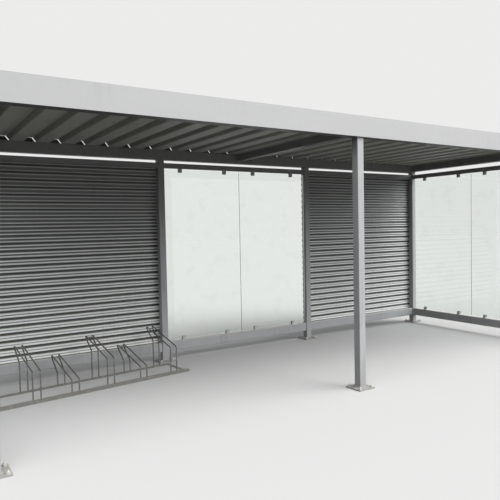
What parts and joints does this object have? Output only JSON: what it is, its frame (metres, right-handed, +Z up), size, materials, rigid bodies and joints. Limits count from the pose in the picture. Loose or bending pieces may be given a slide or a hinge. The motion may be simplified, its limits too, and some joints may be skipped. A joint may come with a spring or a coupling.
{
  "type": "bike shelter",
  "caption": "Open steel bike shelter with a ribbed roof, ribbed and glazed back wall, glazed ends and a low wheel rack.",
  "frame": {"origin": "on the ground, in the middle of the footprint", "axes": "+X along the shelter to the right as seen from the open front, +Y from the front to the back, +Z up"},
  "size_m": [6.8, 2.4, 2.64],
  "materials": {
    "frame_paint": "satin silver-grey paint",
    "fascia_paint": "satin silver-grey paint",
    "roof_sheet": "coated sheet, grey",
    "cladding_sheet": "coated sheet, silver-grey",
    "pane_glass": "clear toughened glass",
    "clamp_metal": "dull grey",
    "galvanised": "dull hot-dip galvanised"
  },
  "bodies": {
    "root": {"front_post_left": "frame_paint", "front_post_middle": "frame_paint", "front_post_right": "frame_paint", "rear_post_1": "frame_paint", "rear_post_2": "frame_paint", "rear_post_3": "frame_paint", "rear_post_4": "frame_paint", "front_beam": "fascia_paint", "rear_beam": "frame_paint", "rafter_left": "frame_paint", "rafter_middle": "frame_paint", "rafter_right": "frame_paint", "side_fascia_left": "fascia_paint", "side_fascia_right": "fascia_paint", "roof_rest": "frame_paint", "roof_sheet_1": "roof_sheet", "roof_sheet_2": "roof_sheet", "roof_sheet_3": "roof_sheet", "roof_sheet_4": "roof_sheet", "roof_sheet_5": "roof_sheet", "rear_top_rails": "frame_paint", "rear_bottom_rails": "frame_paint", "rear_cladding_left": "cladding_sheet", "rear_cladding_right": "cladding_sheet", "rear_pane_left": "pane_glass", "rear_pane_right": "pane_glass", "rear_clamps": "clamp_metal", "end_top_rail_left": "frame_paint", "end_bottom_rail_left": "frame_paint", "end_pane_left_front": "pane_glass", "end_pane_left_rear": "pane_glass", "end_clamps_left": "clamp_metal", "end_top_rail_right": "frame_paint", "end_bottom_rail_right": "frame_paint", "end_pane_right_front": "pane_glass", "end_pane_right_rear": "pane_glass", "end_clamps_right": "clamp_metal", "rack_rails": "galvanised", "rack_end_bars": "galvanised", "wheel_holder_1": "galvanised", "wheel_holder_2": "galvanised", "wheel_holder_3": "galvanised", "wheel_holder_4": "galvanised", "wheel_holder_5": "galvanised", "wheel_holder_6": "galvanised"}
  },
  "joints": []
}
